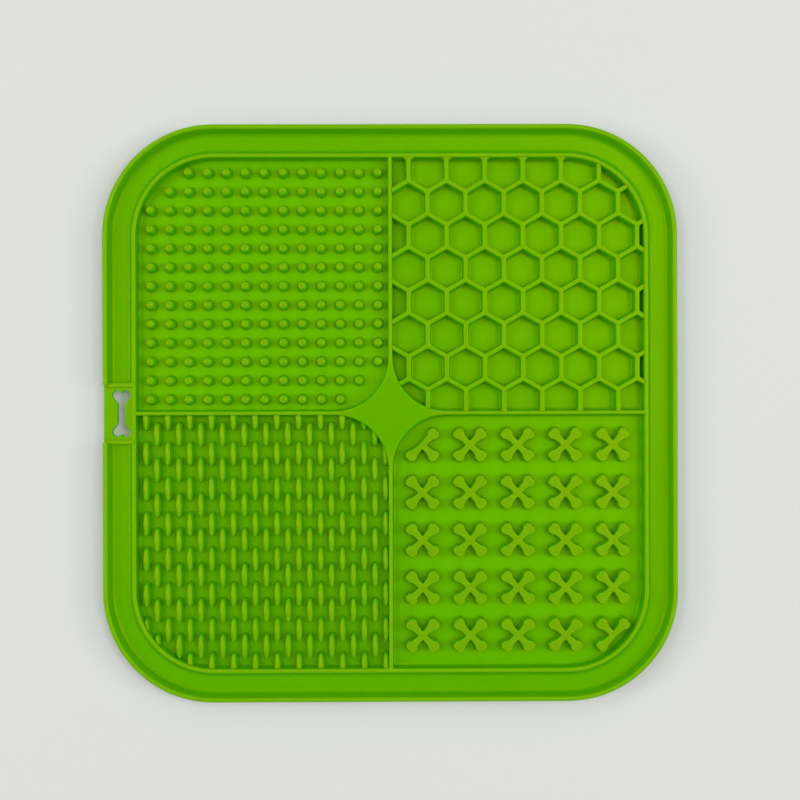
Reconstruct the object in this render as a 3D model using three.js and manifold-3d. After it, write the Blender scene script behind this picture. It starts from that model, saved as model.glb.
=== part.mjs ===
// A square silicone lick mat: a shallow tray in four patterned quarters inside a raised border,
// with a bone-shaped hanging hole in its left edge. Millimetres, +Z up. The origin is the middle
// of the underside, +X is to the right and +Y away from the reader, as the mat lies face up.
import * as THREE from 'three';
import { mergeGeometries, mergeVertices } from 'three/addons/utils/BufferGeometryUtils.js';
import { ConvexGeometry } from 'three/addons/geometries/ConvexGeometry.js';
import Module from 'manifold-3d';

const wasm = await Module();
wasm.setup();

// Driving dimensions: the outline and the levels above the table.
const MAT_WIDTH = 200;
const MAT_DEPTH = 201;
const CORNER_RADIUS = 38.5;
const CORNER_STEPS = 7;
const FLOOR_TOP = 2;
const BORDER_UNDERSIDE = 3.5;
const CHANNEL_TOP = 5.5;
const RIM_TOP = 6.5;
const LIP_TOP = 8.3;

// The border, from the outer edge inwards.
const LIP_WIDTH = 1.5;
const CHANNEL_START = 4.6;
const RIM_START = 9.9;
const RIM_END = 11.3;
const FOOT_START = 10.6;
const RIM_DRAFT = 0.15;
const WALL_DRAFT = 0.25;

// The border's rounded edges, as the width and height that each takes, and the slope behind the lip.
const FOOT_BEVEL = { width: 1.4, height: 1.2 };
const UNDERSIDE_BEVEL = 0.8;
const LIP_BEVEL = { outer: 0.4, inner: 0.3, height: 0.7 };
const LIP_SLOPE = [
  { beyondLip: 0.6, aboveChannel: 1.2 },
  { beyondLip: 1.6, aboveChannel: 0.3 },
];

// The four pockets of the tray, and the star between them.
const DIVIDER_WIDTH = 1.4;
const STAR_RADIUS = 19;
const POCKET_RADIUS = CORNER_RADIUS - RIM_END;
const PATTERN_ROOT = 0.4;

// Upper left: round bumps on a square grid.
const BUMP_PITCH = 6.65;
const BUMP_FIRST = { x: -84.1, y: 84.8 };
const BUMP_FOOT_RADIUS = 2;
const BUMP_TOP_RADIUS = 1.2;
const BUMP_HEIGHT = 3.8;
const BUMP_SIDES = 6;
const BUMP_COLUMNS = 13;
const BUMP_ROWS = [
  { rows: 1, skipLeft: 2, skipRight: 0 },
  { rows: 1, skipLeft: 1, skipRight: 0 },
  { rows: 9, skipLeft: 0, skipRight: 0 },
  { rows: 1, skipLeft: 0, skipRight: 1 },
  { rows: 1, skipLeft: 0, skipRight: 2 },
];

// Upper right: a honeycomb of thin walls, one cell corner pointing up.
const CELL_PITCH = 13.32;
const CELL_WALL = 1.6;
const CELL_FIRST = { x: 6.6, y: 73.5 };
const HONEYCOMB_HEIGHT = 4.3;
const CELL_SIDES = 6;
const CELL_ROWS = 8;
const CELL_COLUMNS = 8;

// Lower left: upright grains in staggered columns.
const GRAIN_PITCH = { x: 3.81, y: 12.26 };
const GRAIN_FIRST = { x: -85.3, y: -2.14 };
const GRAIN_LENGTH = 8.4;
const GRAIN_WIDTH = 2.3;
const GRAIN_SHOULDER = 4.4;
const GRAIN_CREST = 5.6;
const GRAIN_HEIGHT = 3.8;
const GRAIN_COLUMNS = 23;
const GRAIN_ROWS = 8;

// Lower right: crossed bones on a square grid. Arms are numbered anticlockwise from upper right.
const CROSS_PITCH = 16.55;
const CROSS_FIRST = { x: 11.1, y: -11.3 };
const CROSS_COUNT = 5;
const CROSS_HEIGHT = 3.8;
const KNOB_REACH = 5.5;
const KNOB_RADIUS = 1.8;
const KNOB_STEPS = 4;
const SHAFT_WIDTH = 1.9;
const CROSSES_CUT_SHORT = [
  { column: 0, row: 0, missingArm: 1 },
  { column: CROSS_COUNT - 1, row: CROSS_COUNT - 1, missingArm: 3 },
];

// The hanging place in the left edge: a strip with a bone-shaped hole between two cross ribs.
const RIB_CENTRE = 9.95;
const RIB_WIDTH = 1.4;
const RIB_TOP = 6.8;
const TAB_TOP = 6.3;
const TAB_GAP = 0.3;
const BONE_CENTRE_X = -93.9;
const BONE_SHAFT_WIDTH = 2.8;
const BONE_SHAFT_END = 3.5;
const BONE_LOBE_RADIUS = 1.7;
const BONE_LOBE = { x: 1.45, y: 6.4 };
const BONE_LOBE_STEPS = 8;

const HALF_WIDTH = MAT_WIDTH / 2;
const HALF_DEPTH = MAT_DEPTH / 2;
const HALF_DIVIDER = DIVIDER_WIDTH / 2;

// A closed geometry as a solid for joining and cutting.
function solidFrom(geometry) {
  const bare = geometry.clone();
  bare.deleteAttribute('normal');
  bare.deleteAttribute('uv');
  const merged = mergeVertices(bare);
  return new wasm.Manifold(new wasm.Mesh({
    numProp: 3,
    vertProperties: new Float32Array(merged.attributes.position.array),
    triVerts: new Uint32Array(merged.index.array),
  }));
}

function geometryFrom(solid) {
  const { vertProperties, triVerts } = solid.getMesh();
  const geometry = new THREE.BufferGeometry();
  geometry.setAttribute('position', new THREE.BufferAttribute(vertProperties, 3));
  geometry.setIndex(new THREE.BufferAttribute(triVerts, 1));
  geometry.computeVertexNormals();
  return geometry;
}

// Points on an arc, both ends included, angles in radians.
function arcPoints(centreX, centreY, radius, from, to, steps) {
  const points = [];
  for (let step = 0; step <= steps; step += 1) {
    const angle = from + ((to - from) * step) / steps;
    points.push(new THREE.Vector2(
      centreX + radius * Math.cos(angle),
      centreY + radius * Math.sin(angle),
    ));
  }
  return points;
}

// The mat's outline drawn in by an inset, anticlockwise.
function borderOutline(inset) {
  const radius = CORNER_RADIUS - inset;
  const centreX = HALF_WIDTH - CORNER_RADIUS;
  const centreY = HALF_DEPTH - CORNER_RADIUS;
  const corners = [[1, 1], [-1, 1], [-1, -1], [1, -1]];
  return corners.flatMap(([sideX, sideY], index) => {
    const from = (index * Math.PI) / 2;
    return arcPoints(sideX * centreX, sideY * centreY, radius, from, from + Math.PI / 2,
      CORNER_STEPS);
  });
}

// A closed skin over convex outlines stacked from the first to the last.
function loft(sections) {
  const count = sections[0].outline.length;
  const positions = sections.flatMap(({ outline, z }) => outline.flatMap(({ x, y }) => [x, y, z]));
  const indices = [];
  for (let level = 0; level < sections.length - 1; level += 1) {
    for (let point = 0; point < count; point += 1) {
      const next = (point + 1) % count;
      const here = level * count;
      const above = here + count;
      indices.push(here + point, here + next, above + next);
      indices.push(here + point, above + next, above + point);
    }
  }
  const last = (sections.length - 1) * count;
  for (let point = 1; point < count - 1; point += 1) {
    indices.push(0, point + 1, point);
    indices.push(last, last + point, last + point + 1);
  }
  const geometry = new THREE.BufferGeometry();
  geometry.setAttribute('position', new THREE.Float32BufferAttribute(positions, 3));
  geometry.setIndex(indices);
  return geometry;
}

// An upright prism on an outline.
function prism(outline, bottom, top) {
  const shape = new THREE.Shape(outline);
  const geometry = new THREE.ExtrudeGeometry(shape, { depth: top - bottom, bevelEnabled: false });
  return geometry.translate(0, 0, bottom);
}

// The mat without its pockets: foot, overhanging border, lip, channel and rim.
function makeBlank() {
  const lipSlope = LIP_SLOPE.map(({ beyondLip, aboveChannel }) => (
    { inset: LIP_WIDTH + beyondLip, z: CHANNEL_TOP + aboveChannel }
  ));
  const sections = [
    { inset: FOOT_START + FOOT_BEVEL.width, z: 0 },
    { inset: FOOT_START, z: FOOT_BEVEL.height },
    { inset: RIM_START, z: BORDER_UNDERSIDE },
    { inset: UNDERSIDE_BEVEL, z: BORDER_UNDERSIDE },
    { inset: 0, z: BORDER_UNDERSIDE + UNDERSIDE_BEVEL },
    { inset: 0, z: LIP_TOP - LIP_BEVEL.height },
    { inset: LIP_BEVEL.outer, z: LIP_TOP },
    { inset: LIP_WIDTH - LIP_BEVEL.inner, z: LIP_TOP },
    ...lipSlope,
    { inset: CHANNEL_START, z: CHANNEL_TOP },
    { inset: RIM_START, z: CHANNEL_TOP },
    { inset: RIM_START + RIM_DRAFT, z: RIM_TOP },
  ];
  return solidFrom(loft(sections.map(({ inset, z }) => ({ outline: borderOutline(inset), z }))));
}

// One quarter of the tray, sides given as 1 or -1. It is drawn in the first quarter, where the star
// rounds the corner near the middle and the border rounds the far one, and then turned over.
function pocketOutline(sideX, sideY, grow) {
  const near = HALF_DIVIDER - grow;
  const farX = HALF_WIDTH - RIM_END + grow;
  const farY = HALF_DEPTH - RIM_END + grow;
  const star = HALF_DIVIDER + STAR_RADIUS;
  const cornerX = HALF_WIDTH - CORNER_RADIUS;
  const cornerY = HALF_DEPTH - CORNER_RADIUS;
  const points = [
    ...arcPoints(star, star, STAR_RADIUS + grow, Math.PI, 1.5 * Math.PI, CORNER_STEPS),
    new THREE.Vector2(farX, near),
    ...arcPoints(cornerX, cornerY, POCKET_RADIUS + grow, 0, 0.5 * Math.PI, CORNER_STEPS),
    new THREE.Vector2(near, farY),
  ].map(({ x, y }) => new THREE.Vector2(x * sideX, y * sideY));
  return sideX * sideY < 0 ? points.reverse() : points;
}

// The hollow of one quarter, a little narrower at the floor so that the mat leaves its mould.
function makePocket(sideX, sideY) {
  return solidFrom(loft([
    { outline: pocketOutline(sideX, sideY, -WALL_DRAFT), z: FLOOR_TOP },
    { outline: pocketOutline(sideX, sideY, 0), z: RIM_TOP },
    { outline: pocketOutline(sideX, sideY, 0), z: LIP_TOP },
  ]));
}

// The room a pattern may fill: the pocket with its foot sunk into the floor and its sides in the walls.
function makePatternRoom(sideX, sideY, height) {
  const outline = pocketOutline(sideX, sideY, PATTERN_ROOT);
  return solidFrom(prism(outline, FLOOR_TOP - PATTERN_ROOT, FLOOR_TOP + height));
}

function makeBumps() {
  const bumps = [];
  const height = BUMP_HEIGHT + PATTERN_ROOT;
  let row = 0;
  for (const { rows, skipLeft, skipRight } of BUMP_ROWS) {
    for (const lastRow = row + rows; row < lastRow; row += 1) {
      for (let column = skipLeft; column < BUMP_COLUMNS - skipRight; column += 1) {
        const bump = new THREE.CylinderGeometry(
          BUMP_TOP_RADIUS, BUMP_FOOT_RADIUS, height, BUMP_SIDES,
        );
        bump.rotateX(Math.PI / 2);
        bump.translate(
          BUMP_FIRST.x + column * BUMP_PITCH,
          BUMP_FIRST.y - row * BUMP_PITCH,
          FLOOR_TOP - PATTERN_ROOT + height / 2,
        );
        bumps.push(bump);
      }
    }
  }
  return solidFrom(mergeGeometries(bumps));
}

// The honeycomb is what is left of a plate once its cells are cut out.
function makeHoneycomb() {
  const cornerStep = (2 * Math.PI) / CELL_SIDES;
  const firstCorner = cornerStep / 2;
  const lastCorner = firstCorner + (CELL_SIDES - 1) * cornerStep;
  const rowPitch = (CELL_PITCH * Math.sqrt(3)) / 2;
  const cellRadius = (CELL_PITCH - CELL_WALL) / Math.sqrt(3);
  const cells = [];
  for (let row = -1; row < CELL_ROWS - 1; row += 1) {
    const stagger = row % 2 === 0 ? 0 : -CELL_PITCH / 2;
    for (let column = 0; column < CELL_COLUMNS; column += 1) {
      const x = CELL_FIRST.x + stagger + column * CELL_PITCH;
      const y = CELL_FIRST.y - row * rowPitch;
      const corners = arcPoints(x, y, cellRadius, firstCorner, lastCorner, CELL_SIDES - 1);
      cells.push(prism(corners, 0, LIP_TOP));
    }
  }
  const plate = makePatternRoom(1, 1, HONEYCOMB_HEIGHT);
  return plate.subtract(solidFrom(mergeGeometries(cells)));
}

// One upright ridge with pointed ends, like a grain of rice on its edge.
function makeGrain() {
  const foot = -PATTERN_ROOT;
  const points = [
    new THREE.Vector3(0, GRAIN_LENGTH / 2, foot),
    new THREE.Vector3(0, -GRAIN_LENGTH / 2, foot),
    new THREE.Vector3(0, GRAIN_CREST / 2, GRAIN_HEIGHT),
    new THREE.Vector3(0, -GRAIN_CREST / 2, GRAIN_HEIGHT),
  ];
  for (const side of [-1, 1]) {
    for (const end of [-1, 1]) {
      points.push(new THREE.Vector3(side * GRAIN_WIDTH / 2, end * GRAIN_SHOULDER / 2, foot));
    }
  }
  return new ConvexGeometry(points);
}

function makeGrains() {
  const grains = [];
  for (let column = 0; column < GRAIN_COLUMNS; column += 1) {
    const stagger = column % 2 === 0 ? 0 : -GRAIN_PITCH.y / 2;
    for (let row = 0; row < GRAIN_ROWS; row += 1) {
      const x = GRAIN_FIRST.x + column * GRAIN_PITCH.x;
      const y = GRAIN_FIRST.y + stagger - row * GRAIN_PITCH.y;
      grains.push(makeGrain().translate(x, y, FLOOR_TOP));
    }
  }
  return solidFrom(mergeGeometries(grains)).intersect(makePatternRoom(-1, -1, LIP_TOP));
}

// The outline of two crossed bones. A missing arm leaves only the corner where the shafts cross.
function crossOutline(missingArm) {
  const halfShaft = SHAFT_WIDTH / 2;
  const opening = Math.asin(halfShaft / KNOB_RADIUS);
  const points = [];
  for (let arm = 0; arm < 4; arm += 1) {
    const heading = (arm + 0.5) * (Math.PI / 2);
    const before = heading - Math.PI / 4;
    points.push(new THREE.Vector2(Math.cos(before), Math.sin(before))
      .multiplyScalar(halfShaft * Math.SQRT2));
    if (arm !== missingArm) {
      points.push(...arcPoints(
        KNOB_REACH * Math.cos(heading), KNOB_REACH * Math.sin(heading), KNOB_RADIUS,
        heading - Math.PI + opening, heading + Math.PI - opening, KNOB_STEPS,
      ));
    }
  }
  return points;
}

function makeCrosses() {
  const crosses = [];
  for (let row = 0; row < CROSS_COUNT; row += 1) {
    for (let column = 0; column < CROSS_COUNT; column += 1) {
      const short = CROSSES_CUT_SHORT.find((cut) => cut.row === row && cut.column === column);
      const cross = prism(crossOutline(short?.missingArm), -PATTERN_ROOT, CROSS_HEIGHT);
      const x = CROSS_FIRST.x + column * CROSS_PITCH;
      const y = CROSS_FIRST.y - row * CROSS_PITCH;
      crosses.push(cross.translate(x, y, FLOOR_TOP));
    }
  }
  return solidFrom(mergeGeometries(crosses));
}

// A block given by its lowest and highest corner.
function block(low, high) {
  const size = new THREE.Vector3().subVectors(high, low);
  const middle = new THREE.Vector3().addVectors(low, high).multiplyScalar(0.5);
  return new THREE.BoxGeometry(size.x, size.y, size.z).translate(middle.x, middle.y, middle.z);
}

// The ribs that close the border channel on both sides of the hanging strip.
function makeCrossRibs() {
  const middleOfRim = -HALF_WIDTH + (RIM_START + RIM_END) / 2;
  const ribs = [-RIB_CENTRE, RIB_CENTRE].map((y) => block(
    new THREE.Vector3(-HALF_WIDTH, y - RIB_WIDTH / 2, BORDER_UNDERSIDE),
    new THREE.Vector3(middleOfRim, y + RIB_WIDTH / 2, RIB_TOP),
  ));
  return solidFrom(mergeGeometries(ribs));
}

// The place of the hanging strip, cut out of lip and channel up to the tray's outer wall.
function makeTabNotch() {
  const reach = RIB_CENTRE - RIB_WIDTH / 2;
  return solidFrom(block(
    new THREE.Vector3(-MAT_WIDTH, -reach, 0),
    new THREE.Vector3(-HALF_WIDTH + RIM_START, reach, 2 * LIP_TOP),
  ));
}

function makeMat() {
  let mat = makeBlank();
  for (const [sideX, sideY] of [[1, 1], [-1, 1], [-1, -1], [1, -1]]) {
    mat = mat.subtract(makePocket(sideX, sideY));
  }
  for (const pattern of [makeBumps(), makeHoneycomb(), makeGrains(), makeCrosses()]) {
    mat = mat.add(pattern);
  }
  return geometryFrom(mat.add(makeCrossRibs()).subtract(makeTabNotch()));
}

// The bone-shaped hole, anticlockwise: two round lobes at each end of a straight shaft. Each lobe
// runs into the shaft along a straight line that touches it, and meets its twin in a notch.
function boneOutline() {
  const halfShaft = BONE_SHAFT_WIDTH / 2;
  const toLobe = { x: BONE_LOBE.x - halfShaft, y: BONE_LOBE.y - BONE_SHAFT_END };
  const touch = Math.atan2(toLobe.y, toLobe.x)
    - Math.asin(BONE_LOBE_RADIUS / Math.hypot(toLobe.x, toLobe.y)) - Math.PI / 2;
  const notch = Math.acos(-BONE_LOBE.x / BONE_LOBE_RADIUS);
  const upperRight = [
    new THREE.Vector2(halfShaft, BONE_SHAFT_END),
    ...arcPoints(BONE_LOBE.x, BONE_LOBE.y, BONE_LOBE_RADIUS, touch, notch, BONE_LOBE_STEPS),
  ];
  const upperLeft = upperRight.slice(0, -1).reverse().map(({ x, y }) => new THREE.Vector2(-x, y));
  const upper = [...upperRight, ...upperLeft];
  const lower = upper.map(({ x, y }) => new THREE.Vector2(-x, -y));
  return [...upper, ...lower].map(({ x, y }) => new THREE.Vector2(x + BONE_CENTRE_X, y));
}

function makeHangTab() {
  const reach = RIB_CENTRE - RIB_WIDTH / 2 - TAB_GAP;
  const inner = -HALF_WIDTH + RIM_START - TAB_GAP;
  const shape = new THREE.Shape([
    new THREE.Vector2(-HALF_WIDTH, -reach),
    new THREE.Vector2(inner, -reach),
    new THREE.Vector2(inner, reach),
    new THREE.Vector2(-HALF_WIDTH, reach),
  ]);
  shape.holes.push(new THREE.Path(boneOutline()));
  const depth = TAB_TOP - BORDER_UNDERSIDE;
  const strip = new THREE.ExtrudeGeometry(shape, { depth, bevelEnabled: false });
  return strip.translate(0, 0, BORDER_UNDERSIDE);
}

const greenSilicone = new THREE.MeshStandardMaterial({
  color: '#66ad06', roughness: 0.45, metalness: 0,
});

const lickMat = new THREE.Group();
for (const [name, geometry] of [['mat', makeMat()], ['hang_tab', makeHangTab()]]) {
  const mesh = new THREE.Mesh(geometry, greenSilicone.clone());
  mesh.name = name;
  lickMat.add(mesh);
}

export default lickMat;
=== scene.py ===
# %% [markdown]
# # A silicone lick mat, moulded in one shot
# The object is a shallow square tray of green silicone rubber. A maker presses it in a heated
# two-part mould, so every wall, bump and edge is part of the same skin: edges are softly rounded,
# walls lean a little so that the mat peels out, and nothing is glued or sewn on.
# In Blender it could be sculpted, displaced from a height image, or built from its own sizes. It
# is built from sizes here, because the patterns are regular and have to meet the walls exactly.

import math

import bpy
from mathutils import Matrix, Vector


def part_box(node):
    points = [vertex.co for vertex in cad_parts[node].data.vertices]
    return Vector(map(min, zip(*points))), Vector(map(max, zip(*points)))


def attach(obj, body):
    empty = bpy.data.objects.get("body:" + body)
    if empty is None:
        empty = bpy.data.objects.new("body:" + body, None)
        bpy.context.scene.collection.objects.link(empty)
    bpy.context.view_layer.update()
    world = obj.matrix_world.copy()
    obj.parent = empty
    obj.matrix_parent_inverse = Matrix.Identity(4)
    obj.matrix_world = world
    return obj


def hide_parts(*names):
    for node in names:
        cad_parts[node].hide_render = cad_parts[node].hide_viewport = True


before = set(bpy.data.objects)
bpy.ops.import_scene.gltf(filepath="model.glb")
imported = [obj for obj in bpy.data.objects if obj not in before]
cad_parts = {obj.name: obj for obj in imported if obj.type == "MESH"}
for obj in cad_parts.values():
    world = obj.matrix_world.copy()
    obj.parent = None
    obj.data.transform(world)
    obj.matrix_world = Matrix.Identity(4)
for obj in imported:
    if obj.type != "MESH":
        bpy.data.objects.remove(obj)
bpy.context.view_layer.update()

# %% [markdown]
# # The sizes that everything else follows
# The frame gives the mat's width, depth and height. The other sizes are those of the mould, in
# millimetres: how wide each band of the border is, and how high each level lies above the table.
# Working in millimetres and turning them to metres in one place keeps the numbers readable.

# %% Sizes of the moulding
MM = 0.001

mat_low, mat_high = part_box("mat")
WIDTH = (mat_high.x - mat_low.x) / MM
DEPTH = (mat_high.y - mat_low.y) / MM

# Levels above the table, from the lowest to the highest.
FLOOR_TOP = 2.0
BORDER_UNDERSIDE = 3.5
CHANNEL_TOP = 4.7
STRIP_TOP = 6.1
RIM_TOP = 6.5
RIB_TOP = 6.8
LIP_TOP = mat_high.z / MM

# The outline's corners, and where the border's bands lie, measured inwards from the outline.
CORNER_RADIUS = 38.5
CORNER_STEPS = 24
LIP_WIDTH = 1.6
RIM_START = 9.9
RIM_END = 11.3

# The walls inside the border, and how deep a pattern reaches into the floor and into the walls.
DIVIDER = 1.4
STAR_RADIUS = 19.0
SUNK = 1.5
SUNK_IN_WALL = 0.4
print(f"mat {WIDTH:.1f} x {DEPTH:.1f} x {LIP_TOP:.1f} mm")

# %% [markdown]
# # Rounded corners from a short list
# A moulded edge is never sharp. Each profile below is written as a few corners with a radius, and
# this helper bends every corner round. A Bevel modifier could do it afterwards, but it slips where
# a thin wall runs into another, and here each radius stays a size that can be changed. A section's
# first and last corners often only say which way it runs on, and are then left off.

# %% A profile with its corners bent round


def rounded(corners, steps=4, closed=False):
    """Points along a profile with its corners bent round. A corner is (across, up, radius)."""
    if closed:
        inner = list(zip(corners[-1:] + corners[:-1], corners, corners[1:] + corners[:1]))
    else:
        inner = list(zip(corners, corners[1:], corners[2:]))
    line = []
    for before, corner, after in inner:
        here = Vector(corner[:2])
        radius = corner[2]
        if radius == 0:
            line.append(tuple(here))
            continue
        back = (Vector(before[:2]) - here).normalized()
        ahead = (Vector(after[:2]) - here).normalized()
        half_angle = back.angle(ahead) / 2
        centre = here + (back + ahead).normalized() * radius / math.sin(half_angle)
        start = here + back * radius / math.tan(half_angle) - centre
        end = here + ahead * radius / math.tan(half_angle) - centre
        turn = math.atan2(start.x * end.y - start.y * end.x, start.dot(end))
        for step in range(steps + 1):
            angle = math.atan2(start.y, start.x) + turn * step / steps
            line.append((centre.x + radius * math.cos(angle), centre.y + radius * math.sin(angle)))
    if closed:
        return line
    return [tuple(corners[0][:2]), *line, tuple(corners[-1][:2])]


# %% Pieces from rings of points
collection = bpy.context.scene.collection


def make_piece(name, points, faces):
    """A mesh object from points in millimetres, with its object at the origin."""
    mesh = bpy.data.meshes.new(name)
    mesh.from_pydata([Vector(point) * MM for point in points], [], faces)
    mesh.validate()
    piece = bpy.data.objects.new(name, mesh)
    collection.objects.link(piece)
    return piece


def loft(name, rings):
    """A closed skin over rings of equal length, anticlockwise as seen from the last ring."""
    count = len(rings[0])
    faces = [tuple(reversed(range(count)))]
    for level in range(len(rings) - 1):
        for here in range(count):
            ahead = (here + 1) % count
            low = level * count
            high = low + count
            faces.append((low + here, low + ahead, high + ahead, high + here))
    faces.append(tuple(range(len(rings) * count - count, len(rings) * count)))
    return make_piece(name, [point for ring in rings for point in ring], faces)


def at_height(outline, z):
    """A flat outline lifted to one height."""
    return [(x, y, z) for x, y in outline]


# %% [markdown]
# # Joining and cutting
# A mould maker works the same way: a blank is milled, hollows are sunk and ribs are left standing.
# The Boolean modifier repeats that with closed shapes, and its Manifold solver is quick and keeps
# the result closed. The result is then kept as a plain mesh, so no modifier is left on the piece.

# %% Join, cut and bake


def bake(piece):
    """Keeps what the modifiers make as the piece's own plain mesh."""
    graph = bpy.context.evaluated_depsgraph_get()
    made = bpy.data.meshes.new_from_object(piece.evaluated_get(graph))
    piece.modifiers.clear()
    piece.data = made


def combine(piece, tool, operation):
    """Joins the tool to the piece, or cuts with it, and removes the tool."""
    step = piece.modifiers.new(operation, "BOOLEAN")
    step.operation = operation
    step.solver = "MANIFOLD"
    step.object = tool
    bake(piece)
    bpy.data.objects.remove(tool)


# %% [markdown]
# # Smooth edges and flat faces
# On a moulded part the rounded edges are smooth and the flat faces stay flat. Smooth shading
# alone tilts the light at the corners of a large face, so that the star would show a faint seam.
# A Weighted Normal modifier lets the large faces lead: they are shaded flat, and the narrow strips
# of each rounded edge blend into them. Creases of more than 42 degrees stay sharp.

# %% Shading of flat and rounded faces
CREASE = math.radians(42)


def shade(piece, smooth_all=False):
    """Smooth rounded edges, sharp creases, and large faces that lead, so that they stay flat."""
    for face in piece.data.polygons:
        face.use_smooth = True
    if not smooth_all:
        piece.data.set_sharp_from_angle(angle=CREASE)
        piece.modifiers.new("large_faces_lead", "WEIGHTED_NORMAL").keep_sharp = True
        bake(piece)
    print(piece.name, "has", len(piece.data.polygons), "faces")


# %% [markdown]
# # The blank: foot, border, lip and channel
# The border hangs over the table, so light gets under it and the mat can be picked up. Its cross
# section is the same all the way round: a raised lip outside, a shallow channel whose sides slope
# softly, and a rim that holds the tray. A bevelled curve could carry that section, but it pinches
# at the corners. Here the section says how far in and how high each ring lies, and each ring is a
# true outline.

# %% Outline of the mat and section of its border


def mat_outline(inset):
    """The mat's outline drawn in by an inset, anticlockwise."""
    radius = CORNER_RADIUS - inset
    outline = []
    for quarter, (side_x, side_y) in enumerate([(1, 1), (-1, 1), (-1, -1), (1, -1)]):
        centre_x = side_x * (WIDTH / 2 - CORNER_RADIUS)
        centre_y = side_y * (DEPTH / 2 - CORNER_RADIUS)
        for step in range(CORNER_STEPS + 1):
            angle = (quarter + step / CORNER_STEPS) * math.pi / 2
            outline.append((centre_x + radius * math.cos(angle),
                            centre_y + radius * math.sin(angle)))
    return outline


# How far the foot leans in below the border, and how far lip and rim slope into the channel.
FOOT_LEAN = 0.7
LIP_SLOPE = 1.3
RIM_SLOPE = 1.0
RIM_LEAN = 0.1
# From the foot outwards, up the lip and back in. A corner is (inset, height, radius).
BORDER_SECTION = rounded([
    (RIM_END, 0, 0),
    (RIM_START + FOOT_LEAN, 0, 0.9),
    (RIM_START, BORDER_UNDERSIDE, 1.2),
    (0, BORDER_UNDERSIDE, 0.9),
    (0, LIP_TOP, 0.85),
    (LIP_WIDTH, LIP_TOP, 0.75),
    (LIP_WIDTH + LIP_SLOPE, CHANNEL_TOP, 1.5),
    (RIM_START - RIM_SLOPE, CHANNEL_TOP, 1.4),
    (RIM_START + RIM_LEAN, RIM_TOP, 0.55),
    (RIM_END, RIM_TOP, 0),
])
mat = loft("silicone_tray", [at_height(mat_outline(inset), z) for inset, z in BORDER_SECTION])
print("border section of", len(BORDER_SECTION), "points")

# %% [markdown]
# # Four quarters and the star
# Each quarter of the tray is a pocket with a rounded outer corner and a wide round corner towards
# the middle. What is left between the four pockets is the thin cross of dividing walls and the
# flat four-pointed star. Each pocket's cutter is wider at its mouth and narrower at its floor, so
# cutting with it rounds the walls' upper edges and leaves a fillet at their foot.

# %% Pocket outline and pocket section
QUARTERS = {"bumps": (-1, 1), "honeycomb": (1, 1), "grains": (-1, -1), "bones": (1, -1)}
WALL_LEAN = 0.25
# The cutter's mouth ends a hair above the rim, so that two surfaces never share one place.
HAIR = 0.001


def pocket_outline(quarter, grow):
    """One quarter of the tray, grown outwards, anticlockwise."""
    side_x, side_y = QUARTERS[quarter]
    near = DIVIDER / 2 - grow
    far_x = WIDTH / 2 - RIM_END + grow
    far_y = DEPTH / 2 - RIM_END + grow
    star = DIVIDER / 2 + STAR_RADIUS
    outline = []
    for step in range(CORNER_STEPS + 1):
        angle = math.pi * (1 + step / CORNER_STEPS / 2)
        outline.append((star + (STAR_RADIUS + grow) * math.cos(angle),
                        star + (STAR_RADIUS + grow) * math.sin(angle)))
    outline.append((far_x, near))
    for step in range(CORNER_STEPS + 1):
        angle = math.pi * step / CORNER_STEPS / 2
        radius = CORNER_RADIUS - RIM_END + grow
        outline.append((WIDTH / 2 - CORNER_RADIUS + radius * math.cos(angle),
                        DEPTH / 2 - CORNER_RADIUS + radius * math.sin(angle)))
    outline.append((near, far_y))
    outline = [(x * side_x, y * side_y) for x, y in outline]
    return outline if side_x * side_y > 0 else outline[::-1]


# From the floor up to the mouth. A corner is (growth of the outline, height, radius).
POCKET_SECTION = rounded([
    (-3.0, FLOOR_TOP, 0),
    (-WALL_LEAN, FLOOR_TOP, 0.8),
    (0, RIM_TOP, 0.65),
    (1.0, RIM_TOP + HAIR, 0),
])[1:-1]
for quarter in QUARTERS:
    rings = [at_height(pocket_outline(quarter, grow), z) for grow, z in POCKET_SECTION]
    rings.append(at_height(pocket_outline(quarter, POCKET_SECTION[-1][0]), LIP_TOP))
    combine(mat, loft("pocket_" + quarter, rings), "DIFFERENCE")
print("four pockets sunk, each", round(RIM_TOP - FLOOR_TOP, 1), "mm deep")

# %% [markdown]
# # The hanging place
# In the middle of the left edge the lip stops, and a flat strip between two low ribs carries a
# hole in the shape of a bone, so that the mat can hang on a hook. The strip stands nearly as high
# as the rim, so it is stiffer than the channel. Strip and ribs are joined to the blank, and the
# hole is cut right through, a little wider at its upper edge and underneath.

# %% Strip, ribs and gap in the lip
LEFT = -WIDTH / 2
RIM_MIDDLE = LEFT + (RIM_START + RIM_END) / 2
RIB_CENTRE = 9.95
RIB_WIDTH = 1.4
RIB_SETBACK = 0.15
RIB_EDGE = 0.3
STRIP_EDGE = 0.4
# The gap in the lip reaches a little past the middle of each rib, which hides the gap's edge.
NOTCH_REACH = RIB_CENTRE + 0.2
# It leaves a plate 1 mm thick. Strip and ribs start inside that plate, so they are one with it.
NOTCH_FLOOR = BORDER_UNDERSIDE + 1
NOTCH_EDGE = 0.1
STRIP_FOOT = BORDER_UNDERSIDE + 0.3


def bar(name, x_range, y_range, z_range, edge):
    """A block whose upper edges are rounded off."""
    section = rounded([(0, z_range[0], 0), (0, z_range[1], edge), (2 * edge, z_range[1], 0)])[:-1]
    rings = []
    for inset, z in section:
        low_x, high_x = x_range[0] + inset, x_range[1] - inset
        low_y, high_y = y_range[0] + inset, y_range[1] - inset
        corners = [(low_x, low_y), (high_x, low_y), (high_x, high_y), (low_x, high_y)]
        rings.append(at_height(corners, z))
    return loft(name, rings)


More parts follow.
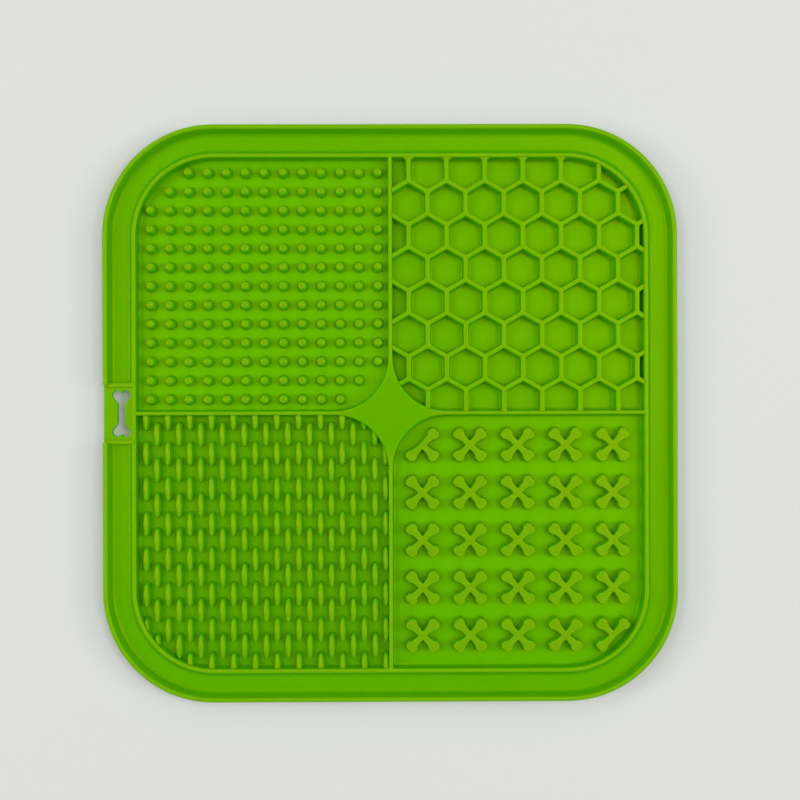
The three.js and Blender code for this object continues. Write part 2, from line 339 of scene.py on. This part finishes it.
combine(mat, bar("notch", (2 * LEFT, LEFT + RIM_START), (-NOTCH_REACH, NOTCH_REACH),
                 (NOTCH_FLOOR, 2 * LIP_TOP), NOTCH_EDGE), "DIFFERENCE")
combine(mat, bar("strip", (LEFT, RIM_MIDDLE), (-NOTCH_REACH, NOTCH_REACH),
                 (STRIP_FOOT, STRIP_TOP), STRIP_EDGE), "UNION")
for side in (-1, 1):
    middle = side * RIB_CENTRE
    combine(mat, bar("rib", (LEFT + RIB_SETBACK, RIM_MIDDLE),
                     (middle - RIB_WIDTH / 2, middle + RIB_WIDTH / 2),
                     (STRIP_FOOT, RIB_TOP), RIB_EDGE), "UNION")
print("strip", round(2 * RIB_CENTRE - RIB_WIDTH, 1), "mm long between its ribs")

# %% The bone-shaped hole
HOLE_CENTRE_X = -93.9
HOLE_SHAFT_WIDTH = 2.6
HOLE_SHAFT_END = 3.5
HOLE_LOBE_RADIUS = 1.7
HOLE_LOBE_X = 1.45
HOLE_LOBE_Y = 6.4
HOLE_LOBE_STEPS = 12
# How much wider the hole is underneath, and at its upper edge.
HOLE_FLARE = 0.25


def hole_outline(grow):
    """Two lobes at each end of a shaft, grown outwards, anticlockwise."""
    radius = HOLE_LOBE_RADIUS + grow
    half_shaft = HOLE_SHAFT_WIDTH / 2 + grow
    to_lobe = Vector((HOLE_LOBE_X - half_shaft, HOLE_LOBE_Y - HOLE_SHAFT_END))
    touch = math.atan2(to_lobe.y, to_lobe.x) - math.asin(radius / to_lobe.length) - math.pi / 2
    notch = math.acos(-HOLE_LOBE_X / radius)
    right = [(half_shaft, HOLE_SHAFT_END)]
    for step in range(HOLE_LOBE_STEPS + 1):
        angle = touch + (notch - touch) * step / HOLE_LOBE_STEPS
        right.append((HOLE_LOBE_X + radius * math.cos(angle),
                      HOLE_LOBE_Y + radius * math.sin(angle)))
    upper = right + [(-x, y) for x, y in right[-2::-1]]
    outline = upper + [(-x, -y) for x, y in upper]
    return [(x + HOLE_CENTRE_X, y) for x, y in outline]


HOLE_SECTION = rounded([
    (HOLE_FLARE, STRIP_FOOT, 0),
    (0, STRIP_FOOT + HOLE_FLARE, 0),
    (0, STRIP_TOP, HOLE_FLARE),
    (2 * HOLE_FLARE, STRIP_TOP, 0),
])[:-1]
rings = [at_height(hole_outline(HOLE_FLARE), 0)]
rings += [at_height(hole_outline(grow), z) for grow, z in HOLE_SECTION]
rings.append(at_height(hole_outline(HOLE_FLARE), LIP_TOP))
combine(mat, loft("bone_hole", rings), "DIFFERENCE")
shade(mat)

# %% [markdown]
# # Shapes on a grid, by Geometry Nodes
# All four patterns repeat one shape on a grid, some with every second row or column shifted. One
# node tree places them: it numbers its points, works out each point's column and row, shifts it,
# and puts the shape there. Array modifiers could do the plain grids, but a shifted one would have
# to be put together from two.
# The tree ends by realizing the copies, because only real faces can be cut or exported.

# %% A helper for nodes


def add_node(tree, kind, sockets=None, **settings):
    """Adds one node with its settings. A socket gets a value, or a link from another's output."""
    node = tree.nodes.new(kind)
    for setting, value in settings.items():
        setattr(node, setting, value)
    for socket, value in (sockets or {}).items():
        if isinstance(value, bpy.types.NodeSocket):
            tree.links.new(value, node.inputs[socket])
        else:
            node.inputs[socket].default_value = value
    return node


# %% The tree's inputs and its sums
GRID_INPUTS = {
    "Columns": "NodeSocketInt", "Rows": "NodeSocketInt", "Pitch": "NodeSocketVector",
    "First Place": "NodeSocketVector", "Odd Row Shift": "NodeSocketFloat",
    "Odd Column Shift": "NodeSocketFloat", "Corner Steps Skipped": "NodeSocketInt",
    "Shape": "NodeSocketObject", "Material": "NodeSocketMaterial",
}
# Each sum is (the name of its result, its operation, and one to three values).
GRID_SUMS = [
    ("Column", "MODULO", "Number", "Columns"),
    ("Rows Passed", "DIVIDE", "Number", "Columns"),
    ("Row", "FLOOR", "Rows Passed"),
    ("Row Is Odd", "MODULO", "Row", 2.0),
    ("Column Is Odd", "MODULO", "Column", 2.0),
    ("Row Shift", "MULTIPLY", "Row Is Odd", "Odd Row Shift"),
    ("Column Shift", "MULTIPLY", "Column Is Odd", "Odd Column Shift"),
    ("Across", "MULTIPLY_ADD", "Column", "Pitch Across", "Row Shift"),
    ("Down", "MULTIPLY_ADD", "Row", "Pitch Down", "Column Shift"),
    ("Up", "MULTIPLY", "Down", -1.0),
    ("From First Corner", "ADD", "Column", "Row"),
    ("Both Sides", "ADD", "Columns", "Rows"),
    ("Farthest", "ADD", "Both Sides", -2.0),
    ("From Last Corner", "SUBTRACT", "Farthest", "From First Corner"),
    ("Nearest Corner", "MINIMUM", "From First Corner", "From Last Corner"),
    ("Places", "MULTIPLY", "Columns", "Rows"),
]
print(len(GRID_INPUTS), "inputs and", len(GRID_SUMS), "sums")

# %% The tree


def build_grid_tree():
    """Repeats a shape on a grid, left to right and then downwards from its first place."""
    tree = bpy.data.node_groups.new("shapes_on_a_grid", "GeometryNodeTree")
    for name, kind in GRID_INPUTS.items():
        tree.interface.new_socket(name=name, in_out="INPUT", socket_type=kind)
    tree.interface.new_socket(name="Pattern", in_out="OUTPUT", socket_type="NodeSocketGeometry")
    given = add_node(tree, "NodeGroupInput").outputs
    pitch = add_node(tree, "ShaderNodeSeparateXYZ", {0: given["Pitch"]}).outputs
    known = {name: given[name] for name in GRID_INPUTS}
    known["Number"] = add_node(tree, "GeometryNodeInputIndex").outputs[0]
    known["Pitch Across"], known["Pitch Down"] = pitch["X"], pitch["Y"]
    for result, operation, *values in GRID_SUMS:
        sockets = {place: known.get(value, value) for place, value in enumerate(values)}
        known[result] = add_node(tree, "ShaderNodeMath", sockets, operation=operation).outputs[0]
    step = add_node(tree, "ShaderNodeCombineXYZ", {"X": known["Across"], "Y": known["Up"]})
    place = add_node(tree, "ShaderNodeVectorMath", {0: given["First Place"], 1: step.outputs[0]},
                     operation="ADD")
    kept = add_node(tree, "FunctionNodeCompare",
                    {0: known["Nearest Corner"], 1: given["Corner Steps Skipped"]},
                    data_type="FLOAT", operation="GREATER_EQUAL")
    points = add_node(tree, "GeometryNodePoints", {
        "Count": known["Places"], "Position": place.outputs[0]})
    shape = add_node(tree, "GeometryNodeObjectInfo", {"Object": given["Shape"]})
    copies = add_node(tree, "GeometryNodeInstanceOnPoints", {
        "Points": points.outputs[0], "Selection": kept.outputs[0],
        "Instance": shape.outputs["Geometry"]})
    real = add_node(tree, "GeometryNodeRealizeInstances", {0: copies.outputs[0]})
    finish = add_node(tree, "GeometryNodeSetMaterial", {
        0: real.outputs[0], "Material": given["Material"]})
    add_node(tree, "NodeGroupOutput", {0: finish.outputs[0]})
    return tree


grid_tree = build_grid_tree()
print("node tree with", len(grid_tree.nodes), "nodes")

# %% [markdown]
# # The material: moulded silicone rubber
# Silicone rubber from a bead-blasted mould has a soft satin skin. Light enters it and comes out
# again a few millimetres away, so shadows are soft and never black. The Principled shader's
# subsurface part does that. Green travels farthest in this rubber, red about a quarter as far and
# blue hardly at all, so a shaded place turns a deeper, purer green.
# The colour also has light painted into it. The tray's floor is thin and the pale table shines
# through it, so low places get a painted glow and look a little lighter. Level crowns catch light
# from every side, so they get a painted yellow highlight. Both are painted by height above the
# table: light sent through thin rubber in earnest would need many more samples. The star and the
# steep sides get no painted highlight.

# %% Colours and textures of silicone rubber


def linear(hex_colour):
    """An sRGB hex colour as the linear values that shaders take."""
    channels = [int(hex_colour[start:start + 2], 16) / 255 for start in (1, 3, 5)]
    return (*[c / 12.92 if c <= 0.04045 else ((c + 0.055) / 1.055) ** 2.4 for c in channels], 1.0)


# Two close greens drift into each other in clouds some 35 mm wide, as pigment does in a batch.
LIME_RUBBER = "#54bb00"
LIME_RUBBER_DEEP = "#4fb500"
CLOUD_SIZE = 35.0
# Painted light: the pale table shining through the thin floor is a lighter green that comes in
# between these two levels, from the higher one down.
PAINTED_FLOOR_GLOW = "#5cc200"
PAINTED_FLOOR_GLOW_LEVELS = (4.0, 2.2)
# A painted yellow highlight, for the light that level crowns catch from every side, comes in
# between these levels. The patterns are lower than the lip and rim.
PAINTED_CROWN_HIGHLIGHT = "#70b50a"
MAT_HIGHLIGHT_LEVELS = (5.9, 6.4)
PATTERN_HIGHLIGHT_LEVELS = (4.4, 5.6)
# Within 12 mm of the middle, on the star, no highlight is painted, and on a face on edge neither.
STAR_REACH = (12.0, 17.0)
HIGHLIGHT_TILT = (0.0, 0.9)
# A blasted skin has pits of about 0.05 mm. They are drawn seven times coarser, or they would be
# finer than the picture, and so shallow that they only soften the shine.
SKIN_GRAIN = 0.35
SKIN_DEPTH = 0.004
SKIN_STRENGTH = 0.4
# Silicone's refractive index is about 1.41. A little more is used, with a strong tinted shine,
# because the photo's highlights are soft, wide and yellow like the rubber below them.
RUBBER_IOR = 1.5
SHINE = 1.0
SHINE_TINT = "#fff000"
# The skin's roughness changes between these two as the clouds do.
SATIN = (0.42, 0.5)
# How far red, green and blue travel in the rubber, as parts of the longest way in millimetres.
LIGHT_TRAVEL = (0.28, 1.0, 0.05)
LONGEST_WAY = 2.3
print("lime green in linear values:", [round(value, 3) for value in linear(LIME_RUBBER)])

# %% The rubber as a tree of nodes


def make_silicone(name, highlight_levels):
    """Lime green silicone rubber, with painted light: a lighter glow low on the floor, and a
    yellower highlight that comes in between two levels in mm.
    """
    material = bpy.data.materials.new(name)
    material.use_nodes = True
    tree = material.node_tree
    tree.nodes.clear()
    place = add_node(tree, "ShaderNodeTexCoord").outputs["Object"]
    clouds = add_node(tree, "ShaderNodeTexNoise", {
        "Vector": place, "Scale": 1 / (CLOUD_SIZE * MM), "Detail": 2.0})
    colour = add_node(tree, "ShaderNodeMix", {
        0: clouds.outputs[0], 6: linear(LIME_RUBBER), 7: linear(LIME_RUBBER_DEEP)},
        data_type="RGBA")
    level = add_node(tree, "ShaderNodeSeparateXYZ", {0: place}).outputs["Z"]
    # Painted light: low places, where the pale table would shine through, are mixed to a lighter
    # green.
    low = add_node(tree, "ShaderNodeMapRange", {
        0: level, "From Min": PAINTED_FLOOR_GLOW_LEVELS[0] * MM, "From Max": PAINTED_FLOOR_GLOW_LEVELS[1] * MM})
    lit_floor = add_node(tree, "ShaderNodeMix", {
        0: low.outputs[0], 6: colour.outputs[2], 7: linear(PAINTED_FLOOR_GLOW)}, data_type="RGBA")
    # Painted highlight: high, level places off the star are mixed to a yellower green.
    high = add_node(tree, "ShaderNodeMapRange", {
        0: level, "From Min": highlight_levels[0] * MM, "From Max": highlight_levels[1] * MM})
    flat_place = add_node(tree, "ShaderNodeVectorMath", {0: place, 1: (1, 1, 0)},
                          operation="MULTIPLY")
    from_middle = add_node(tree, "ShaderNodeVectorMath", {0: flat_place.outputs[0]},
                           operation="LENGTH")
    off_star = add_node(tree, "ShaderNodeMapRange", {
        0: from_middle.outputs["Value"], "From Min": STAR_REACH[0] * MM,
        "From Max": STAR_REACH[1] * MM})
    facing = add_node(tree, "ShaderNodeNewGeometry").outputs["Normal"]
    upward = add_node(tree, "ShaderNodeSeparateXYZ", {0: facing}).outputs["Z"]
    not_steep = add_node(tree, "ShaderNodeMapRange", {
        0: upward, "From Min": HIGHLIGHT_TILT[0], "From Max": HIGHLIGHT_TILT[1]})
    edge = add_node(tree, "ShaderNodeMath", {0: high.outputs[0], 1: off_star.outputs[0]},
                    operation="MULTIPLY")
    painted_highlight = add_node(tree, "ShaderNodeMath", {0: edge.outputs[0], 1: not_steep.outputs[0]},
                     operation="MULTIPLY")
    body = add_node(tree, "ShaderNodeMix", {
        0: painted_highlight.outputs[0], 6: lit_floor.outputs[2], 7: linear(PAINTED_CROWN_HIGHLIGHT)}, data_type="RGBA")
    grain = add_node(tree, "ShaderNodeTexNoise", {
        "Vector": place, "Scale": 1 / (SKIN_GRAIN * MM), "Detail": 1.0})
    skin = add_node(tree, "ShaderNodeBump", {
        "Height": grain.outputs[0], "Strength": SKIN_STRENGTH, "Distance": SKIN_DEPTH * MM})
    gloss = add_node(tree, "ShaderNodeMapRange", {
        0: clouds.outputs[0], "To Min": SATIN[0], "To Max": SATIN[1]})
    rubber = add_node(tree, "ShaderNodeBsdfPrincipled", {
        "Base Color": body.outputs[2], "Roughness": gloss.outputs[0],
        "Normal": skin.outputs[0], "IOR": RUBBER_IOR, "Specular IOR Level": SHINE,
        "Specular Tint": linear(SHINE_TINT), "Subsurface Weight": 1.0,
        "Subsurface Radius": LIGHT_TRAVEL, "Subsurface Scale": LONGEST_WAY * MM})
    add_node(tree, "ShaderNodeOutputMaterial", {"Surface": rubber.outputs[0]})
    return material


# %% One rubber for the mat and its patterns


def set_material(piece, material):
    """Gives a piece one material and takes any other away."""
    piece.data.materials.clear()
    piece.data.materials.append(material)


# It is the same rubber twice, and only the height of its painted yellow highlight differs.
silicone = make_silicone("moulded_silicone_rubber", MAT_HIGHLIGHT_LEVELS)
pattern_silicone = make_silicone("silicone_rubber_of_patterns", PATTERN_HIGHLIGHT_LEVELS)
set_material(mat, silicone)
print("the mat is of", silicone.name, "and its patterns are of", pattern_silicone.name)

# %% A shape put on the grid


def repeat(name, shape, columns, rows, pitch, first, row_shift=0, column_shift=0, skip=0):
    """Repeats a shape on the grid tree. All sizes are in millimetres, and the shape is used up."""
    piece = make_piece(name, [], [])
    modifier = piece.modifiers.new("pattern", "NODES")
    modifier.node_group = grid_tree
    values = {
        "Columns": columns, "Rows": rows, "Pitch": (pitch[0] * MM, pitch[1] * MM, 0),
        "First Place": (first[0] * MM, first[1] * MM, 0), "Odd Row Shift": row_shift * MM,
        "Odd Column Shift": column_shift * MM, "Corner Steps Skipped": skip,
        "Shape": shape, "Material": pattern_silicone,
    }
    for socket in grid_tree.interface.items_tree:
        if socket.in_out == "INPUT":
            modifier[socket.identifier] = values[socket.name]
    bake(piece)
    bpy.data.objects.remove(shape)
    return piece


# %% [markdown]
# # Upper left: round bumps
# Each bump is a short stub with a rounded top and a soft flare at its foot. A turned profile
# makes it, with few sides, because there are 163 of them and smooth shading hides the flats. They
# stand on a square grid, and the grid leaves out three at the rounded outer corner and three at
# the star.

# %% One bump, then all of them
BUMP_SIDES = 12
BUMP_HEIGHT = 3.8
# From the sunk foot to the rounded top. A point is (radius, height above the floor).
BUMP_PROFILE = [(2.05, -SUNK), (2.0, 0), (1.78, 0.45), (1.64, 2.6), (1.44, 3.4),
                (0.95, BUMP_HEIGHT)]
BUMP_PITCH = 6.63
BUMP_ROWS = 13
BUMPS_FIRST = (-83.9, 84.4)
# A place is left out if the grid's first or last corner is fewer steps away from it than this.
BUMP_CORNER_STEPS = 2


def make_bump():
    """A closed stub turned from the profile."""
    angles = [2 * math.pi * side / BUMP_SIDES for side in range(BUMP_SIDES)]
    rings = []
    for radius, height in BUMP_PROFILE:
        circle = [(radius * math.cos(angle), radius * math.sin(angle)) for angle in angles]
        rings.append(at_height(circle, FLOOR_TOP + height))
    return loft("bump", rings)


bumps = repeat("round_bumps", make_bump(), BUMP_ROWS, BUMP_ROWS, (BUMP_PITCH, BUMP_PITCH),
               BUMPS_FIRST, skip=BUMP_CORNER_STEPS)
shade(bumps, smooth_all=True)

# %% [markdown]
# # Upper right: honeycomb
# A honeycomb is a plate with its cells cut out, and it is made like that: one cell cutter with a
# flared mouth and a narrowed floor, repeated in shifted rows, then cut from a plate that fills
# the quarter. The walls that stay have rounded crowns and run cleanly into rim and star. The
# plate reaches into the tray's floor, and its own cell floors lie a hair above that floor, so
# that two surfaces never share one place.

# %% The field of cells
CELL_PITCH = 13.32
CELL_ROW_PITCH = CELL_PITCH * math.sqrt(3) / 2
CELL_ROWS = 8
CELL_WALL = 1.65
CELL_CORNER = 0.8
CELL_LEAN = 0.2
CELL_FLOOR = FLOOR_TOP + 0.03
HONEYCOMB_TOP = 6.3
# The second row starts with a nearly whole cell. The first row lies half a pitch farther left.
SECOND_ROW = (6.45, 73.5)
CELLS_FIRST = (SECOND_ROW[0] - CELL_PITCH / 2, SECOND_ROW[1] + CELL_ROW_PITCH)


def cell_outline(grow):
    """A six-sided cell with one corner pointing up and its corners a little round."""
    reach = ((CELL_PITCH - CELL_WALL) / 2 + grow) / math.cos(math.pi / 6)
    corners = [(reach * math.cos(math.radians(30 + 60 * corner)),
                reach * math.sin(math.radians(30 + 60 * corner)), CELL_CORNER + grow)
               for corner in range(6)]
    return rounded(corners, steps=3, closed=True)


CELL_SECTION = rounded([
    (-2.0, CELL_FLOOR, 0),
    (-CELL_LEAN, CELL_FLOOR, 0.6),
    (0, HONEYCOMB_TOP, 0.5),
    (1.0, HONEYCOMB_TOP, 0),
])[1:-1]
rings = [at_height(cell_outline(grow), z) for grow, z in CELL_SECTION]
rings.append(at_height(cell_outline(CELL_SECTION[-1][0]), LIP_TOP))
cells = repeat("cells", loft("cell", rings), CELL_ROWS, CELL_ROWS,
               (CELL_PITCH, CELL_ROW_PITCH), CELLS_FIRST, row_shift=CELL_PITCH / 2)
print(CELL_ROWS, "rows of cells with walls of", CELL_WALL, "mm between them")

# %% The plate they are cut from


def quarter_plate(name, quarter, top):
    """A plate that fills a quarter, sunk a little into its floor and walls."""
    outline = pocket_outline(quarter, SUNK_IN_WALL)
    return loft(name, [at_height(outline, FLOOR_TOP - SUNK), at_height(outline, top)])


honeycomb = quarter_plate("honeycomb_walls", "honeycomb", HONEYCOMB_TOP)
combine(honeycomb, cells, "DIFFERENCE")
set_material(honeycomb, silicone)
shade(honeycomb)

# %% [markdown]
# # Lower left: upright grains
# These ridges look like grains of rice stood on edge: a narrow crest, steep sides and blunt
# ends. One grain is a row of arched sections that shrink towards both ends. Every second column
# is a little more than half a pitch higher, and the field is trimmed where it would pass the
# walls, which also cuts the uppermost grains in half as in the photo.

# %% One grain, then the field
GRAIN_LENGTH = 8.9
GRAIN_WIDTH = 2.9
GRAIN_HEIGHT = 3.8
# One arched section. A point is (part of the half width, height above the floor).
GRAIN_ARCH = [(-1.04, -SUNK), (-1, 0), (-0.89, 2.5), (-0.58, 3.45), (0, GRAIN_HEIGHT),
              (0.58, 3.45), (0.89, 2.5), (1, 0), (1.04, -SUNK)]
# Where the sections stand, as parts of the half length. The blunter the grain, the closer to its
# tips it keeps its full width or height.
GRAIN_STATIONS = [-0.985, -0.9, -0.65, 0, 0.65, 0.9, 0.985]
BLUNT_IN_WIDTH = 2.6
BLUNT_IN_HEIGHT = 14
GRAIN_PITCH = (3.81, 12.36)
GRAIN_STAGGER = 6.7
GRAIN_COLUMNS = 23
GRAIN_ROWS = 8
GRAINS_FIRST = (-85.55, -1.75)


def make_grain():
    """A blunt-ended ridge along Y: arched sections from one tip to the other."""
    rings = []
    for station in GRAIN_STATIONS:
        half_width = GRAIN_WIDTH / 2 * (1 - abs(station) ** BLUNT_IN_WIDTH) ** 0.5
        rise = (1 - abs(station) ** BLUNT_IN_HEIGHT) ** 0.5
        rings.append([(side * half_width, station * GRAIN_LENGTH / 2,
                       FLOOR_TOP + (height * rise if height > 0 else height))
                      for side, height in GRAIN_ARCH])
    return loft("grain", rings)


grains = repeat("upright_grains", make_grain(), GRAIN_COLUMNS, GRAIN_ROWS, GRAIN_PITCH,
                GRAINS_FIRST, column_shift=-GRAIN_STAGGER)
combine(grains, quarter_plate("grain_room", "grains", LIP_TOP), "INTERSECT")
shade(grains)

# %% [markdown]
# # Lower right: crossed bones
# Twenty-five little crosses, each two bones laid over each other, with flat tops. Their outline
# is a short list of corners for one arm, turned four times and bent round. Two crosses at the
# rounded corners lack the arm that would touch the wall, so they are placed on their own.

# %% One pair of crossed bones
CROSS_TOP = FLOOR_TOP + 3.8
CROSS_LEAN = 0.12
HALF_SHAFT = 0.9
VALLEY_RADIUS = 0.5
# One arm, from its shaft round both lobes of its end. A corner is (along, across, radius).
ARM_CORNERS = [(4.0, -1.3, 1.5), (4.75, -1.95, 0.6), (6.45, -2.0, 0.8), (7.2, -0.75, 0.6),
               (7.0, 0, 0.5),
               (7.2, 0.75, 0.6), (6.45, 2.0, 0.8), (4.75, 1.95, 0.6), (4.0, 1.3, 1.5)]
# Arms are numbered anticlockwise, and arm 0 points to the upper right.
UPPER_LEFT_ARM = 1
LOWER_RIGHT_ARM = 3


def cross_outline(missing_arm):
    """Four arms from one list of corners, or three where one is missing."""
    corners = []
    for arm in range(4):
        turn = math.radians(45 + 90 * arm)
        valley = turn - math.pi / 4
        corners.append((HALF_SHAFT * math.sqrt(2) * math.cos(valley),
                        HALF_SHAFT * math.sqrt(2) * math.sin(valley), VALLEY_RADIUS))
        if arm != missing_arm:
            corners += [(along * math.cos(turn) - across * math.sin(turn),
                         along * math.sin(turn) + across * math.cos(turn), radius)
                        for along, across, radius in ARM_CORNERS]
    return rounded(corners, steps=3, closed=True)


def moved_out(outline, grow):
    """Each point of an anticlockwise outline pushed out along its own normal."""
    earlier, later = outline[-1:] + outline[:-1], outline[1:] + outline[:1]
    moved = []
    for before, here, after in zip(earlier, outline, later):
        along = Vector(after) - Vector(before)
        out = Vector((along.y, -along.x)).normalized()
        moved.append((here[0] + out.x * grow, here[1] + out.y * grow))
    return moved


def make_cross(name, missing_arm=None):
    """A cross with a flat top, rounded upper edges and a flared foot."""
    outline = cross_outline(missing_arm)
    section = rounded([(2.0, FLOOR_TOP, 0), (CROSS_LEAN, FLOOR_TOP, 0.4), (0, CROSS_TOP, 0.3),
                       (-1.0, CROSS_TOP, 0)], steps=3)[1:-1]
    rings = [at_height(moved_out(outline, section[0][0]), FLOOR_TOP - SUNK)]
    rings += [at_height(moved_out(outline, grow), z) for grow, z in section]
    return loft(name, rings)


# %% The field of crosses
CROSS_PITCH = 16.68
CROSS_ROWS = 5
CROSS_FIRST = (11.1, -11.25)
CROSS_CORNER_STEPS = 1
cross_reach = (CROSS_ROWS - 1) * CROSS_PITCH
cross_last = (CROSS_FIRST[0] + cross_reach, CROSS_FIRST[1] - cross_reach)
pitch = (CROSS_PITCH, CROSS_PITCH)
crosses = [
    repeat("crossed_bones", make_cross("cross"), CROSS_ROWS, CROSS_ROWS, pitch, CROSS_FIRST,
           skip=CROSS_CORNER_STEPS),
    repeat("short_cross_by_star", make_cross("cross", UPPER_LEFT_ARM), 1, 1, pitch, CROSS_FIRST),
    repeat("short_cross_by_rim", make_cross("cross", LOWER_RIGHT_ARM), 1, 1, pitch, cross_last),
]
for cross in crosses:
    shade(cross)

# %% [markdown]
# # Handing the pieces to the frame
# The mat is one body. Every piece rides on it and stands for the plain solids that it covers.

# %% Ride and replace
pieces = [mat, bumps, honeycomb, grains, *crosses]
for piece in pieces:
    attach(piece, "root")
    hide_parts("mat")
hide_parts("mat", "hang_tab")
print(len(pieces), "pieces ride on root")

# %% [markdown]
# # Table, light and camera
# The mat lies on a pale table under soft light from both sides, a little stronger from the right.
# On each side a low softbox gives every wall a soft shade at its foot, and a higher one with the
# pale room fills that shade up. Weaker ones behind and in front keep the far and near walls
# darker than the table but never black. The camera looks straight down from 400 mm, with the mat
# a little below the middle of its view.

# %% The pale table
TABLE_SIZE = 3000.0
# The table lies a hair below the mat's foot, so that two surfaces never share one place.
TABLE_TOP = -0.05
TABLE_COLOUR = "#e9e9e6"
TABLE_ROUGHNESS = 0.8
TABLE_SHINE = 0.2


def make_table():
    """A plain pale table top."""
    half = TABLE_SIZE / 2
    corners = [(-half, -half), (half, -half), (half, half), (-half, half)]
    table = make_piece("table", at_height(corners, TABLE_TOP), [(0, 1, 2, 3)])
    material = bpy.data.materials.new("pale_table")
    material.use_nodes = True
    shader = material.node_tree.nodes["Principled BSDF"]
    shader.inputs["Base Color"].default_value = linear(TABLE_COLOUR)
    shader.inputs["Roughness"].default_value = TABLE_ROUGHNESS
    shader.inputs["Specular IOR Level"].default_value = TABLE_SHINE
    set_material(table, material)


make_table()
print("a table of", TABLE_SIZE, "mm a side")

# %% Soft light from both sides
# Distance and size in metres. A softbox is (degrees round the mat, degrees above it, watts).
LIGHT_DISTANCE = 1.5
LIGHT_SIZE = 0.5
SOFTBOXES = {
    "right_high": (0, 60, 3.2),
    "right_low": (0, 36, 3.9),
    "right_back": (45, 70, 2.4),
    "left_high": (180, 60, 2.5),
    "left_low": (180, 32, 3.8),
    "left_back": (135, 50, 1.7),
    "back": (90, 40, 0.8),
    "front": (270, 50, 0.7),
}


def add_softbox(name, azimuth, elevation, power):
    """A round softbox turned towards the mat, at two angles in degrees round it and above it."""
    round_about, up = math.radians(azimuth), math.radians(elevation)
    place = Vector((math.cos(round_about) * math.cos(up), math.sin(round_about) * math.cos(up),
                    math.sin(up))) * LIGHT_DISTANCE
    data = bpy.data.lights.new(name, "AREA")
    data.shape = "DISK"
    data.size = LIGHT_SIZE
    data.energy = power
    light = bpy.data.objects.new(name, data)
    light.location = place
    light.rotation_euler = (-place).to_track_quat("-Z", "Y").to_euler()
    collection.objects.link(light)


for name, (azimuth, elevation, power) in SOFTBOXES.items():
    add_softbox(name, azimuth, elevation, power)
print(len(SOFTBOXES), "softboxes")

# %% The pale room
ROOM_COLOUR = "#f4f6fa"
ROOM_STRENGTH = 0.34
world = bpy.data.worlds.new("soft_room")
world.use_nodes = True
room = world.node_tree.nodes["Background"]
room.inputs["Color"].default_value = linear(ROOM_COLOUR)
room.inputs["Strength"].default_value = ROOM_STRENGTH
bpy.context.scene.world = world
bpy.context.scene.view_settings.view_transform = "Standard"
print("room light of strength", ROOM_STRENGTH)

# %% The camera
# Place and lens in millimetres, turn in degrees.
CAMERA_PLACE = (0.67, 4.52, 400.0)
CAMERA_TURN = (-0.002, -0.383, -0.16)
FOCAL_LENGTH = 50.77
SENSOR_WIDTH = 36.0
camera_data = bpy.data.cameras.new("camera")
camera_data.lens = FOCAL_LENGTH
camera_data.sensor_width = SENSOR_WIDTH
camera = bpy.data.objects.new("camera", camera_data)
camera.location = Vector(CAMERA_PLACE) * MM
camera.rotation_euler = [math.radians(angle) for angle in CAMERA_TURN]
collection.objects.link(camera)
bpy.context.scene.camera = camera
print("camera", CAMERA_PLACE[2], "mm above the table")
